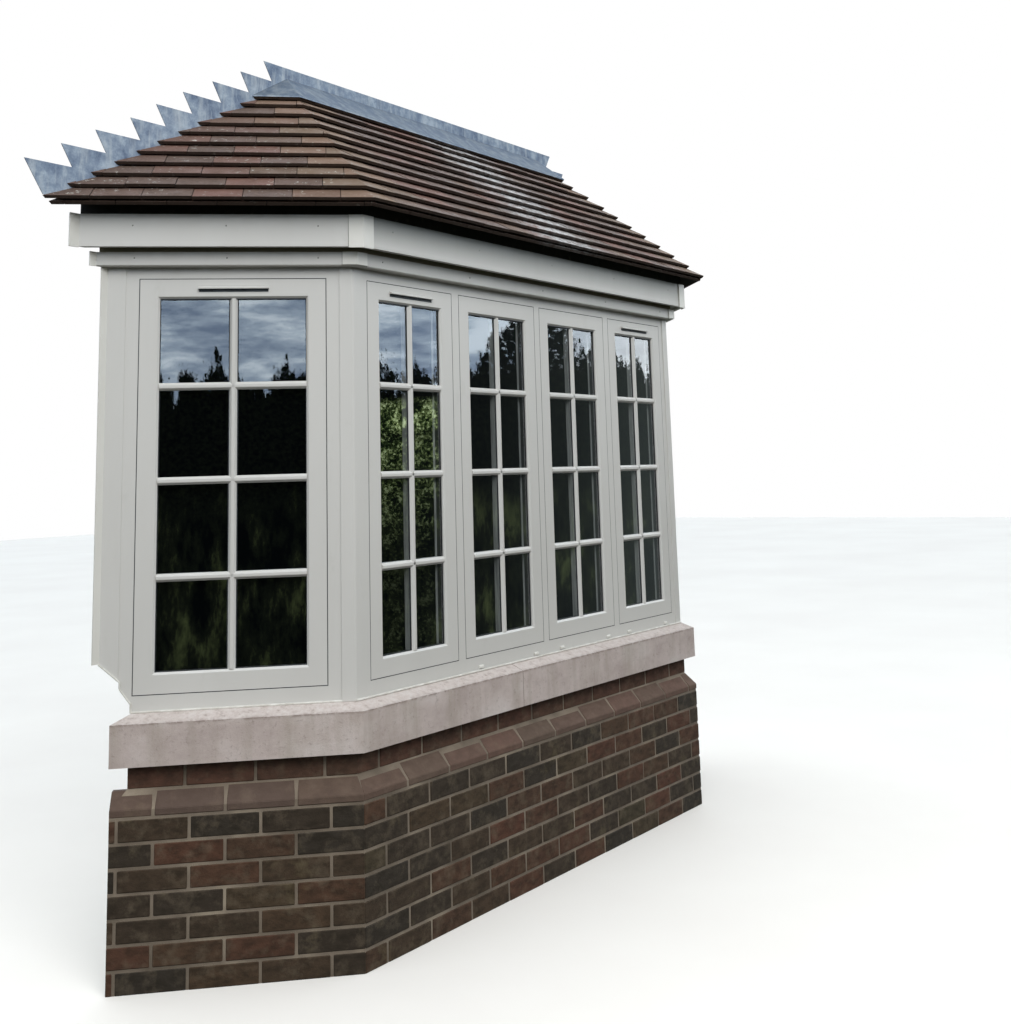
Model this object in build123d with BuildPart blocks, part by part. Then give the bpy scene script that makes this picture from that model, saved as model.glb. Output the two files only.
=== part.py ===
from build123d import *
import math
import os

os.makedirs("parts", exist_ok=True)

# Plan of the bay: a wide front and two faces splayed back to the house wall
splay = 45
nose_reach = 188

# Heights, each one measured from the piece below or beside it
stone_bottom = 675
stone_edge = 133
stone_weathering = 24
sill_rail = 56
sash_height = 1377
head_rail = 45
frieze_lap = 4
frieze_height = 49
soffit_rise = 67
fascia_drop = 12
fascia_height = 112
eaves_rise = 111

# Brick dwarf wall
plinth_face = 56
recess_face = 8
recess_height = 75
plinth_chamfer = 55
wall_inner_face = -240
board_drop = 14
board_thick = 22
board_nosing = 22

# Stone sill
stone_reach = 60
stone_joint_x = -255
stone_joint = 4
drip_back = 20
drip_size = 8

# Two chamfered courses of the house plinth that the foot of the bay is fitted over
house_plinth_out = 75
house_course_out = 50
house_plinth_top = 992
house_course_chamfer = 60
house_course_edge = 21
house_plinth_chamfer = 49

# Window frames and flush sashes
frame_depth = 70
sash_depth = 50
sash_gap = 3
stop_lap = 12
rail = 67
bead_chamfer = 7
glass_front = 14
glass_thick = 28
glass_lap = 10
corner_margin = 78
outer_sash = 478
inner_sash = 511
outer_mullion = 47.5
middle_mullion = 43
side_margin = 93
side_sash = 631
side_jamb = 47
jamb_width = 60.6
post_arm = 45
post_bevel = 3
post_proud = 4
jamb_proud = 4

# Trickle vent hoods on the top rails
vent_length = 240
vent_height = 9
vent_reach = 13
vent_drop = 34

# Boards under the eaves
frieze_thick = 38
frieze_arris = 4
fascia_back = 67
fascia_thick = 22
soffit_thick = 9
cap_arm = 50
cap_thick = 5
cap_drop = 4
eaves_vent_back = 8
frieze_vent_back = 12

# Trims on the house wall at the ends of the jamb covers, the friezes and the fascias
jamb_trim = 24
jamb_trim_proud = 3
frieze_trim = 23
frieze_trim_proud = 4
fascia_trim = 32
fascia_trim_proud = 5
fascia_trim_drop = 3

# Roof
pitch = 40.75
gauge = 84.9
tile_step = 18
tile_nose = 40
rafter_width = 47
rafter_depth = 75
birdsmouth = 36.5
ledger_thick = 47
ledger_height = 150
ledger_past_hip = 67.6
rafter_to_hip = 112.4
jack_rafters = (330, 600)
joist_pitch = 400
joist_width = 45
joist_height = 95
ceiling_rise = 35
ceiling_thick = 12.5

# Lead work, stepped to the 75 mm courses of the house wall
lead = 3
lead_gap = 0.3
cover_upstand = 41.6
cover_apron = 135
step_height = 75
step_rake = 45
step_reaches = (200, 198, 214, 230, 227, 214, 233, 242, 253)

half_splay = math.radians(splay / 2)
full_splay = math.radians(splay)
slope = math.radians(pitch)

# Sizes that follow from the ones above
front_width = 2 * (corner_margin + outer_sash + outer_mullion + inner_sash) + middle_mullion
jamb_start = side_margin + side_sash + side_jamb
side_length = jamb_start + jamb_width
projection = side_length * math.sin(full_splay)
wall_y = (projection + nose_reach) / 2
reach = front_width + projection
stone_arris = stone_bottom + stone_edge
frame_bottom = stone_arris + stone_weathering
sash_bottom = frame_bottom + sill_rail
sash_top = sash_bottom + sash_height
frame_top = sash_top + head_rail
frieze_bottom = frame_top - frieze_lap
frieze_top = frieze_bottom + frieze_height
soffit_bottom = frame_top + soffit_rise
fascia_bottom = soffit_bottom - fascia_drop
fascia_top = fascia_bottom + fascia_height
fascia_face = fascia_back + fascia_thick
eaves_level = soffit_bottom + eaves_rise
eaves_reach = nose_reach - tile_nose * math.sin(slope)


def corner(out, side):
    """Plan point where the front line and a splayed line, both moved outward, meet."""
    return (side * (front_width / 2 + out * math.tan(half_splay)), wall_y - projection - out)


def wall_end(out, back, side):
    """Plan point where a splayed line, moved outward, reaches the line y = back."""
    x, y = corner(out, side)
    return (x + side * (back - y) / math.tan(full_splay), back)


def beside(along, out):
    """Plan point on the right-hand splayed face, measured from the corner toward the wall."""
    x, y = corner(0, 1)
    x += along * math.cos(full_splay) + out * math.sin(full_splay)
    y += along * math.sin(full_splay) - out * math.cos(full_splay)
    return (x, y)


def region(name, back):
    """Plan outline of the front part or the right part of the bay, divided on the mitre lines."""
    inner = (wall_y - back) - projection
    if name == "front":
        return [corner(inner, -1), corner(1000, -1), corner(1000, 1), corner(inner, 1)]
    return [corner(inner, 1), corner(1000, 1), wall_end(1000, back, 1)]


front_out = (0, -1, 0)
right_out = (math.sin(full_splay), -math.cos(full_splay), 0)
front_section = Plane(origin=(0, wall_y - projection, 0), x_dir=front_out, z_dir=(-1, 0, 0))
right_section = Plane(
    origin=(*corner(0, 1), 0),
    x_dir=right_out,
    z_dir=(-math.cos(full_splay), -math.sin(full_splay), 0),
)
sections = {"front": front_section, "right": right_section}
front_face = Plane(origin=(*corner(0, -1), 0), x_dir=(1, 0, 0), z_dir=front_out)
right_face = Plane(
    origin=(*corner(0, 1), 0),
    x_dir=(math.cos(full_splay), math.sin(full_splay), 0),
    z_dir=right_out,
)
faces = {"front": front_face, "right": right_face}


def run(name, profile, back=wall_y):
    """A straight run of one profile, mitred at the corners of the bay and cut off at the wall."""
    with BuildPart() as piece:
        with BuildSketch(sections[name]):
            with BuildLine():
                Polyline(*profile, close=True)
            make_face()
        extrude(amount=reach, both=True)
        with BuildSketch(Plane.XY.offset(-100)):
            with BuildLine():
                Polyline(*region(name, back), close=True)
            make_face()
        extrude(amount=4000, mode=Mode.INTERSECT)
    return piece.part


def mirrored(part):
    """The same piece on the left-hand side."""
    with BuildPart() as piece:
        mirror(part, about=Plane.YZ)
    return piece.part


def paired(part):
    """A piece and its left-hand copy, as two solids."""
    with BuildPart() as pair:
        add(part)
        mirror(part, about=Plane.YZ)
    return pair.part


def save(part, name):
    part.label = name
    export_step(part, f"parts/{name}.step")


plinth_line = wall_y - house_plinth_out
house_course_arris = house_plinth_top - house_course_chamfer
house_course_foot = house_course_arris - house_course_edge
house_plinth_arris = house_course_foot - house_plinth_chamfer


def face_mark(from_wall):
    """Distance along the face of a jamb cover to where it is this far in front of the house wall."""
    return side_length + jamb_proud - from_wall / math.sin(full_splay)


# Outline of the house plinth on the splayed face, taken out of the pieces scribed over it
with BuildPart() as house_plinth:
    with BuildSketch(faces["right"].offset(reach)):
        with BuildLine():
            Polyline(
                (face_mark(-reach), house_plinth_top),
                (face_mark(0), house_plinth_top),
                (face_mark(house_course_out), house_course_arris),
                (face_mark(house_course_out), house_course_foot),
                (face_mark(house_plinth_out), house_plinth_arris),
                (face_mark(house_plinth_out), 0),
                (face_mark(-reach), 0),
                close=True,
            )
        make_face()
    extrude(amount=-2 * reach)

# Dwarf wall of brick with a set-back top course and a chamfered plinth course
board_bottom = frame_bottom - board_drop
dwarf_profile = [
    (plinth_face, 0),
    (plinth_face, stone_bottom - recess_height - plinth_chamfer),
    (recess_face, stone_bottom - recess_height),
    (recess_face, stone_bottom),
    (-frame_depth, stone_bottom),
    (-frame_depth, board_bottom),
    (wall_inner_face, board_bottom),
    (wall_inner_face, 0),
]
dwarf_front = run("front", dwarf_profile, plinth_line)
dwarf_right = run("right", dwarf_profile, plinth_line)
save(dwarf_front, "dwarf_wall_front")
save(dwarf_right, "dwarf_wall_right")
save(mirrored(dwarf_right), "dwarf_wall_left")

# Stone sill, weathered on top and throated below
stone_profile = [
    (stone_reach, stone_bottom),
    (stone_reach, stone_arris),
    (0, frame_bottom),
    (-frame_depth, frame_bottom),
    (-frame_depth, stone_bottom),
    (stone_reach - drip_back - drip_size, stone_bottom),
    (stone_reach - drip_back - drip_size, stone_bottom + drip_size),
    (stone_reach - drip_back, stone_bottom + drip_size),
    (stone_reach - drip_back, stone_bottom),
]
stone_run = run("front", stone_profile, plinth_line)
with BuildPart() as stone_front:
    add(stone_run)
    with Locations((stone_joint_x, 0, frame_bottom)):
        Box(stone_joint, reach, 400, mode=Mode.SUBTRACT)
stone_right = run("right", stone_profile, plinth_line)
save(stone_front.part, "stone_sill_front")
save(stone_right, "stone_sill_right")
save(mirrored(stone_right), "stone_sill_left")

# Window board inside, one shaped board round the three faces
board_profile = [
    (-frame_depth, board_bottom),
    (-frame_depth, board_bottom + board_thick),
    (wall_inner_face - board_nosing, board_bottom + board_thick),
    (wall_inner_face - board_nosing, board_bottom),
]
board_right = run("right", board_profile, plinth_line)
with BuildPart() as window_board:
    add(run("front", board_profile, plinth_line))
    add(board_right)
    mirror(board_right, about=Plane.YZ)
save(window_board.part, "window_board")


# Window frames with rebates for the flush sashes
front_starts = [corner_margin]
front_starts.append(front_starts[0] + outer_sash + outer_mullion)
front_starts.append(front_starts[1] + inner_sash + middle_mullion)
front_starts.append(front_starts[2] + inner_sash + outer_mullion)
front_widths = [outer_sash, inner_sash, inner_sash, outer_sash]
front_sashes = list(zip(front_starts, front_widths))
side_sashes = [(side_margin, side_sash)]


def on_face(start, width, low, height):
    """Centre of a rectangle on a face, from its left edge, width, bottom edge and height."""
    return (start + width / 2, low + height / 2)


def window_frame(name, start, end, sashes):
    """Welded frame: a rebated opening for each sash, with a stop behind it."""
    height = frame_top - frame_bottom
    with BuildPart() as piece:
        with BuildSketch(faces[name]):
            with Locations(on_face(start, end - start, frame_bottom, height)):
                Rectangle(end - start, height)
        extrude(amount=-frame_depth)
        with BuildSketch(faces[name]):
            for left, width in sashes:
                with Locations(on_face(left, width, sash_bottom, sash_height)):
                    Rectangle(width + 2 * sash_gap, sash_height + 2 * sash_gap)
        extrude(amount=-sash_depth, mode=Mode.SUBTRACT)
        with BuildSketch(faces[name]):
            for left, width in sashes:
                with Locations(on_face(left, width, sash_bottom, sash_height)):
                    Rectangle(width - 2 * stop_lap, sash_height - 2 * stop_lap)
        extrude(amount=-frame_depth, mode=Mode.SUBTRACT)
    return piece.part


frame_front = window_frame("front", post_arm, front_width - post_arm, front_sashes)
side_blank = window_frame("right", post_arm, jamb_start, side_sashes)
with BuildPart() as frame_right:
    add(side_blank)
    add(house_plinth.part, mode=Mode.SUBTRACT)
    with Locations((0, wall_y + 500, 1500)):
        Box(2 * reach, 1000, 4000, mode=Mode.SUBTRACT)
save(frame_front, "frame_front")
save(frame_right.part, "frame_right")
save(mirrored(frame_right.part), "frame_left")


def sash(name, left, width):
    """Flush sash with a chamfered glazing edge and a groove that holds the glass unit."""
    middle = on_face(left, width, sash_bottom, sash_height)
    sight_width = width - 2 * rail
    sight_height = sash_height - 2 * rail
    with BuildPart() as piece:
        with BuildSketch(faces[name]):
            with Locations(middle):
                Rectangle(width, sash_height)
        extrude(amount=-sash_depth)
        with BuildSketch(faces[name]):
            with Locations(middle):
                Rectangle(sight_width, sight_height)
        extrude(amount=-sash_depth, mode=Mode.SUBTRACT)
        with BuildSketch(faces[name]):
            with Locations(middle):
                Rectangle(sight_width + 2 * bead_chamfer, sight_height + 2 * bead_chamfer)
        extrude(amount=-bead_chamfer, taper=45, mode=Mode.SUBTRACT)
        with BuildSketch(faces[name].offset(-glass_front)):
            with Locations(middle):
                Rectangle(sight_width + 2 * glass_lap, sight_height + 2 * glass_lap)
        extrude(amount=-glass_thick, mode=Mode.SUBTRACT)
    return piece.part


def glass(name, left, width):
    """Sealed glass unit, a hair smaller than the groove round it."""
    lap = glass_lap - 0.3
    with BuildPart() as piece:
        with BuildSketch(faces[name].offset(-glass_front)):
            with Locations(on_face(left, width, sash_bottom, sash_height)):
                Rectangle(width - 2 * rail + 2 * lap, sash_height - 2 * rail + 2 * lap)
        extrude(amount=-glass_thick)
    return piece.part


for number, (left, width) in enumerate(front_sashes, start=1):
    save(sash("front", left, width), f"sash_front_{number}")
    save(glass("front", left, width), f"glass_front_{number}")
side_sash_part = sash("right", *side_sashes[0])
side_glass_part = glass("right", *side_sashes[0])
save(side_sash_part, "sash_right")
save(side_glass_part, "glass_right")
save(mirrored(side_sash_part), "sash_left")
save(mirrored(side_glass_part), "glass_left")

# Corner posts: a bay pole and its facetted cover, closing the angle between two frames
front_line = wall_y - projection
post_outline = [
    (front_width / 2 - post_arm, front_line),
    (front_width / 2 - post_arm, front_line - post_proud),
    (front_width / 2 - post_bevel, front_line - post_proud),
    beside(post_bevel, post_proud),
    beside(post_arm, post_proud),
    beside(post_arm, 0),
    beside(post_arm, -frame_depth),
    corner(-frame_depth, 1),
    (front_width / 2 - post_arm, front_line + frame_depth),
]
with BuildPart() as corner_post:
    with BuildSketch(Plane.XY.offset(frame_bottom)):
        with BuildLine():
            Polyline(*post_outline, close=True)
        make_face()
    extrude(amount=frame_top - frame_bottom)
    with BuildSketch(Plane.XY.offset(frieze_bottom)):
        with BuildLine():
            Polyline(
                (front_width / 2 - 100, front_line),
                (front_width / 2 - 100, front_line - 50),
                corner(50, 1),
                beside(100, 50),
                beside(100, 0),
                corner(0, 1),
                close=True,
            )
        make_face()
    extrude(amount=100, mode=Mode.SUBTRACT)
save(paired(corner_post.part), "corner_posts")

# Jamb covers between the side frames and the house wall, scribed over its plinth
jamb_depth = (side_length - jamb_start) * math.tan(full_splay)
jamb_outline = [
    beside(jamb_start, jamb_proud),
    wall_end(jamb_proud, wall_y, 1),
    beside(jamb_start, -jamb_depth),
]
with BuildPart() as jamb_cover:
    with BuildSketch(Plane.XY.offset(frame_bottom)):
        with BuildLine():
            Polyline(*jamb_outline, close=True)
        make_face()
    extrude(amount=frame_top - frame_bottom)
    with BuildSketch(Plane.XY.offset(frieze_bottom)):
        with BuildLine():
            Polyline(
                beside(jamb_start - 50, 0),
                beside(jamb_start - 50, 50),
                beside(side_length + 100, 50),
                beside(side_length + 100, 0),
                close=True,
            )
        make_face()
    extrude(amount=100, mode=Mode.SUBTRACT)
    add(house_plinth.part, mode=Mode.SUBTRACT)
save(paired(jamb_cover.part), "jamb_covers")


# Trickle vent hoods
vent_level = sash_top - vent_drop


def vent(name, middle):
    """Hood with a sloped top, fixed on the face of a top rail."""
    with BuildPart() as piece:
        with BuildSketch(sections[name].offset(-middle)):
            with BuildLine():
                Polyline(
                    (0, vent_level),
                    (vent_reach, vent_level),
                    (vent_reach, vent_level + 0.4 * vent_height),
                    (0, vent_level + vent_height),
                    close=True,
                )
            make_face()
        extrude(amount=vent_length / 2, both=True)
    return piece.part


vent_middle = front_width / 2 - corner_margin - outer_sash / 2
side_vent = vent("right", side_margin + side_sash / 2)
with BuildPart() as trickle_vents:
    add(vent("front", -vent_middle))
    add(vent("front", vent_middle))
    add(side_vent)
    mirror(side_vent, about=Plane.YZ)
save(trickle_vents.part, "trickle_vents")

# Underside of the roof tiling, which sets the rafters and the head that carries them
rise = math.tan(slope)
rafter_drop = rafter_depth / math.cos(slope)


def tile_bed(out):
    """Height of the underside of the tiling at a distance outward of the frame face."""
    return eaves_level + (eaves_reach - out) * rise


# Timber head above the frames, notched into the rafters
head_top = tile_bed(0) - rafter_drop + birdsmouth
head_profile = [(0, frame_top), (0, head_top), (-frame_depth, head_top), (-frame_depth, frame_top)]
head_right = run("right", head_profile)
with BuildPart() as head_beam:
    add(run("front", head_profile))
    add(head_right)
    mirror(head_right, about=Plane.YZ)
save(head_beam.part, "head_beam")

# Frieze boards with the lower edge taken off
frieze_profile = [
    (0, frieze_bottom),
    (0, frieze_top),
    (frieze_thick, frieze_top),
    (frieze_thick, frieze_bottom + frieze_arris),
    (frieze_thick - frieze_arris, frieze_bottom),
]
frieze_right = run("right", frieze_profile)
save(run("front", frieze_profile), "frieze_front")
save(frieze_right, "frieze_right")
save(mirrored(frieze_right), "frieze_left")


# Fascia boards in front of the rafter feet
fascia_profile = [
    (fascia_back, fascia_bottom),
    (fascia_back, fascia_top),
    (fascia_face, fascia_top),
    (fascia_face, fascia_bottom),
]
fascia_right = run("right", fascia_profile)
save(run("front", fascia_profile), "fascia_front")
save(fascia_right, "fascia_right")
save(mirrored(fascia_right), "fascia_left")

# Soffit strip between frieze and fascia
soffit_profile = [
    (0, soffit_bottom),
    (0, soffit_bottom + soffit_thick),
    (fascia_back, soffit_bottom + soffit_thick),
    (fascia_back, soffit_bottom),
]
soffit_right = run("right", soffit_profile)
with BuildPart() as soffit:
    add(run("front", soffit_profile))
    add(soffit_right)
    mirror(soffit_right, about=Plane.YZ)
save(soffit.part, "soffit")

# Dark vent strips, one on the fascia under the tiles and one on the frieze under the soffit
eaves_vent_face = fascia_face - eaves_vent_back
frieze_vent_face = frieze_thick - frieze_vent_back
eaves_vent_profile = [
    (fascia_back, fascia_top),
    (fascia_back, tile_bed(fascia_back)),
    (eaves_vent_face, tile_bed(eaves_vent_face)),
    (eaves_vent_face, fascia_top),
]
frieze_vent_profile = [
    (0, frieze_top),
    (0, soffit_bottom),
    (frieze_vent_face, soffit_bottom),
    (frieze_vent_face, frieze_top),
]
with BuildPart() as eaves_vents:
    for vent_profile in (eaves_vent_profile, frieze_vent_profile):
        vent_right = run("right", vent_profile)
        add(run("front", vent_profile))
        add(vent_right)
        mirror(vent_right, about=Plane.YZ)
save(eaves_vents.part, "eaves_vents")


# Corner caps over the joints of the boards
def cap(face_out, low, high):
    outline = [
        (front_width / 2 + face_out * math.tan(half_splay) - cap_arm, front_line - face_out),
        (front_width / 2 + face_out * math.tan(half_splay) - cap_arm, front_line - face_out - cap_thick),
        corner(face_out + cap_thick, 1),
        beside(face_out * math.tan(half_splay) * -1 + cap_arm, face_out + cap_thick),
        beside(face_out * math.tan(half_splay) * -1 + cap_arm, face_out),
        corner(face_out, 1),
    ]
    with BuildPart() as piece:
        with BuildSketch(Plane.XY.offset(low)):
            with BuildLine():
                Polyline(*outline, close=True)
            make_face()
        extrude(amount=high - low)
    return piece.part


fascia_cap = cap(fascia_face, fascia_bottom - cap_drop, fascia_top)
frieze_cap = cap(frieze_thick, frieze_bottom + frieze_arris, frieze_top)
with BuildPart() as corner_caps:
    add(fascia_cap)
    add(frieze_cap)
    mirror(fascia_cap, about=Plane.YZ)
    mirror(frieze_cap, about=Plane.YZ)
save(corner_caps.part, "board_corner_caps")

# Trims where the jamb covers and the boards end against the house wall
end_trims = [
    (jamb_proud, jamb_trim, jamb_trim_proud, house_plinth_top, frieze_bottom),
    (frieze_thick, frieze_trim, frieze_trim_proud, frieze_bottom, frieze_top),
    (fascia_face, fascia_trim, fascia_trim_proud, fascia_bottom - fascia_trim_drop, fascia_top),
]
with BuildPart() as right_trims:
    for out, width, proud, low, high in end_trims:
        trim_end = wall_end(out, wall_y, 1)[0] + width
        with BuildSketch(Plane.XY.offset(low)):
            with BuildLine():
                Polyline(
                    wall_end(out, wall_y, 1),
                    wall_end(out, wall_y - proud, 1),
                    (trim_end, wall_y - proud),
                    (trim_end, wall_y),
                    close=True,
                )
            make_face()
        extrude(amount=high - low)
save(paired(right_trims.part), "wall_trims")

# Ceiling of the bay and its joists
ceiling_level = frame_top + ceiling_rise
ceiling_outline = [
    wall_end(-frame_depth, wall_y, -1),
    corner(-frame_depth, -1),
    corner(-frame_depth, 1),
    wall_end(-frame_depth, wall_y, 1),
]
with BuildPart() as ceiling_board:
    with BuildSketch(Plane.XY.offset(ceiling_level)):
        with BuildLine():
            Polyline(*ceiling_outline, close=True)
        make_face()
    extrude(amount=ceiling_thick)
save(ceiling_board.part, "ceiling_board")

joist_length = projection - frame_depth
with BuildPart() as joists:
    for x in (-2 * joist_pitch, -joist_pitch, 0, joist_pitch, 2 * joist_pitch):
        with Locations((x, wall_y - joist_length / 2, ceiling_level + ceiling_thick + joist_height / 2)):
            Box(joist_width, joist_length, joist_height)
save(joists.part, "ceiling_joists")

# Planes of the underside of the tiling, kept below when the roof timbers are cut
bed_planes = []
for out_dir, point in ((front_out, corner(0, 1)), (right_out, corner(0, 1))):
    bed_planes.append(
        Plane(
            origin=(*point, tile_bed(0)),
            z_dir=(out_dir[0] * math.sin(slope), out_dir[1] * math.sin(slope), math.cos(slope)),
        )
    )

ledger_line = wall_y - ledger_thick
hip_head = corner(-projection, 1)[0]
ledger_end = hip_head + ledger_past_hip
rafter_pitch = (hip_head - rafter_to_hip) / 2
notch_end = -(head_top - (tile_bed(0) - rafter_drop)) / rise
rafter_end = -(projection - ledger_thick)
rafter_profile = [
    (fascia_back, tile_bed(fascia_back)),
    (rafter_end, tile_bed(rafter_end)),
    (rafter_end, tile_bed(rafter_end) - rafter_drop),
    (notch_end, head_top),
    (0, head_top),
    (0, tile_bed(0) - rafter_drop),
    (fascia_back, tile_bed(fascia_back) - rafter_drop),
]
side_rafter_profile = [
    (fascia_back, tile_bed(fascia_back)),
    (-side_length, tile_bed(-side_length)),
    (-side_length, tile_bed(-side_length) - rafter_drop),
    (notch_end, head_top),
    (0, head_top),
    (0, tile_bed(0) - rafter_drop),
    (fascia_back, tile_bed(fascia_back) - rafter_drop),
]

# Jack rafters of the side slopes, and the rafter that lies along the wall
with BuildPart() as side_rafters:
    for along in jack_rafters:
        with BuildSketch(right_section.offset(-along)):
            with BuildLine():
                Polyline(*side_rafter_profile, close=True)
            make_face()
        extrude(amount=rafter_width / 2, both=True)
    with BuildSketch(Plane.XY.offset(-100)):
        with BuildLine():
            Polyline(*region("right", ledger_line), close=True)
        make_face()
    extrude(amount=4000, mode=Mode.INTERSECT)

wall_rafter_foot = wall_end(fascia_back, wall_y, 1)[0]


def bed_at_wall(x):
    out = (x - wall_end(0, wall_y, 1)[0]) * math.sin(full_splay)
    return tile_bed(out)


with BuildPart() as wall_rafter:
    with BuildSketch(Plane.XZ.offset(-wall_y)):
        with BuildLine():
            Polyline(
                (ledger_end, bed_at_wall(ledger_end) + 100),
                (wall_rafter_foot, bed_at_wall(wall_rafter_foot) + 100),
                (wall_rafter_foot, bed_at_wall(wall_rafter_foot) - rafter_drop),
                (ledger_end, bed_at_wall(ledger_end) - rafter_drop),
                close=True,
            )
        make_face()
    extrude(amount=ledger_thick)
    split(bisect_by=bed_planes[1], keep=Keep.BOTTOM)
    split(bisect_by=bed_planes[0], keep=Keep.BOTTOM)
    add(head_beam.part, mode=Mode.SUBTRACT)
    with BuildSketch(Plane.XY.offset(-100)):
        with BuildLine():
            Polyline(
                wall_end(fascia_back, wall_y, -1),
                corner(fascia_back, -1),
                corner(fascia_back, 1),
                wall_end(fascia_back, wall_y, 1),
                close=True,
            )
        make_face()
    extrude(amount=4000, mode=Mode.INTERSECT)

with BuildPart() as rafters:
    for x in (-2 * rafter_pitch, -rafter_pitch, 0, rafter_pitch, 2 * rafter_pitch):
        with BuildSketch(front_section.offset(-x)):
            with BuildLine():
                Polyline(*rafter_profile, close=True)
            make_face()
        extrude(amount=rafter_width / 2, both=True)
    add(side_rafters.part)
    mirror(side_rafters.part, about=Plane.YZ)
save(rafters.part, "rafters")
save(paired(wall_rafter.part), "wall_rafters")

# Hip rafters over the corner posts
hip_out = (math.sin(half_splay), -math.cos(half_splay), 0)
hip_section = Plane(
    origin=(*corner(0, 1), 0),
    x_dir=hip_out,
    z_dir=(-math.cos(half_splay), -math.sin(half_splay), 0),
)
hip_scale = 1 / math.cos(half_splay)
with BuildPart() as hip_rafter:
    with BuildSketch(hip_section):
        with BuildLine():
            Polyline(
                (fascia_back * 2, tile_bed(fascia_back * 2)),
                (-projection * hip_scale, tile_bed(-projection)),
                (-projection * hip_scale, tile_bed(-projection) - rafter_drop * 1.3),
                (fascia_back * 2, tile_bed(fascia_back * 2) - rafter_drop * 1.3),
                close=True,
            )
        make_face()
    extrude(amount=rafter_width / 2, both=True)
    split(bisect_by=bed_planes[0], keep=Keep.BOTTOM)
    split(bisect_by=bed_planes[1], keep=Keep.BOTTOM)
    add(head_beam.part, mode=Mode.SUBTRACT)
    with BuildSketch(Plane.XY.offset(soffit_bottom + soffit_thick)):
        with BuildLine():
            Polyline(
                wall_end(fascia_back, ledger_line, -1),
                corner(fascia_back, -1),
                corner(fascia_back, 1),
                wall_end(fascia_back, ledger_line, 1),
                close=True,
            )
        make_face()
    extrude(amount=4000, mode=Mode.INTERSECT)
save(paired(hip_rafter.part), "hip_rafters")

# Ledger on the wall, under the head of the tiling
ledger_top = tile_bed(-projection)
with BuildPart() as ledger:
    with Locations((0, wall_y - ledger_thick / 2, ledger_top - ledger_height / 2 - 30)):
        Box(2 * ledger_end, ledger_thick, ledger_height + 60)
    split(bisect_by=bed_planes[0], keep=Keep.BOTTOM)
    split(bisect_by=bed_planes[1], keep=Keep.BOTTOM)
with BuildPart() as ledger_both:
    add(ledger.part)
    mirror(ledger.part, about=Plane.YZ, mode=Mode.INTERSECT)
save(ledger_both.part, "roof_ledger")


# Roof tiling in stepped courses, mitred along the hips
courses = math.ceil((projection + eaves_reach) / math.cos(slope) / gauge)
tiles_back = wall_y - lead - lead_gap


def on_slope(along, above):
    """Section point from its distance up the slope and its height above the bed of the tiling."""
    out = eaves_reach - along * math.cos(slope) + above * math.sin(slope)
    level = eaves_level + along * math.sin(slope) + above * math.cos(slope)
    return (out, level)


tile_profile = [on_slope(0, 0)]
for course in range(courses):
    tile_profile.append(on_slope(course * gauge, tile_nose))
    tile_profile.append(on_slope((course + 1) * gauge, tile_nose - tile_step))
tile_profile.append(on_slope((courses + 0.4) * gauge, tile_nose - tile_step))
tile_profile.append(on_slope((courses + 0.4) * gauge, 0))
tiles_right = run("right", tile_profile, tiles_back)
save(run("front", tile_profile, tiles_back), "roof_tiles_front")
save(tiles_right, "roof_tiles_right")
save(mirrored(tiles_right), "roof_tiles_left")

# Lead cover flashing along the wall, its apron dressed over the top course and round both hips
wall_out = -projection
apron_end = wall_out + cover_apron
lead_seat = tile_nose + lead_gap


def above_bed(out, above):
    """Height over a section point of a line laid parallel to the bed of the tiling."""
    return tile_bed(out) + above / math.cos(slope)


def out_at_wall(x):
    """Distance outward of the side frames at a point along the house wall."""
    return (x - wall_end(0, wall_y, 1)[0]) * math.sin(full_splay)


def behind_tiles(x):
    """Lower edge of the lead that stands on the house wall behind the ends of the tiles."""
    return above_bed(out_at_wall(x), lead_gap)


def roof_at(level):
    """Point along the house wall where the face of a side slope reaches a level."""
    out = eaves_reach - (level - lead_seat / math.cos(slope) - eaves_level) / rise
    return wall_end(0, wall_y, 1)[0] + out / math.sin(full_splay)


cover_top = above_bed(wall_out, lead_seat + lead) + cover_upstand
cover_profile = [
    (wall_out, above_bed(wall_out, lead_seat)),
    (apron_end, above_bed(apron_end, lead_seat)),
    (apron_end, above_bed(apron_end, lead_seat + lead)),
    (wall_out + lead, above_bed(wall_out + lead, lead_seat + lead)),
    (wall_out + lead, cover_top),
    (wall_out, cover_top),
]
side_apron_profile = [
    (wall_out - reach, above_bed(wall_out - reach, lead_seat)),
    (apron_end, above_bed(apron_end, lead_seat)),
    (apron_end, above_bed(apron_end, lead_seat + lead)),
    (wall_out - reach, above_bed(wall_out - reach, lead_seat + lead)),
]

# Steps of the lead, each one a course of the house wall lower than the last
step_levels = [cover_top - step * step_height for step in range(len(step_reaches))]
step_tips = [roof_at(level) + tip for level, tip in zip(step_levels, step_reaches)]
cover_seam = step_tips[1] - step_rake
cover_end = [
    (hip_head - 20, behind_tiles(hip_head)),
    (hip_head, behind_tiles(hip_head)),
    (cover_seam, behind_tiles(cover_seam)),
    (cover_seam, step_levels[2]),
    (step_tips[1], step_levels[1]),
    (step_tips[0] - step_rake, step_levels[1]),
    (step_tips[0], cover_top),
    (hip_head - 20, cover_top),
]
with BuildPart() as cover_side:
    with BuildSketch(Plane.XZ.offset(-wall_y)):
        with BuildLine():
            Polyline(*cover_end, close=True)
        make_face()
    extrude(amount=lead)
    add(run("right", side_apron_profile))
with BuildPart() as cover_flashing:
    add(run("front", cover_profile))
    add(cover_side.part)
    mirror(cover_side.part, about=Plane.YZ)
save(cover_flashing.part, "lead_cover_flashing")

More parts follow.
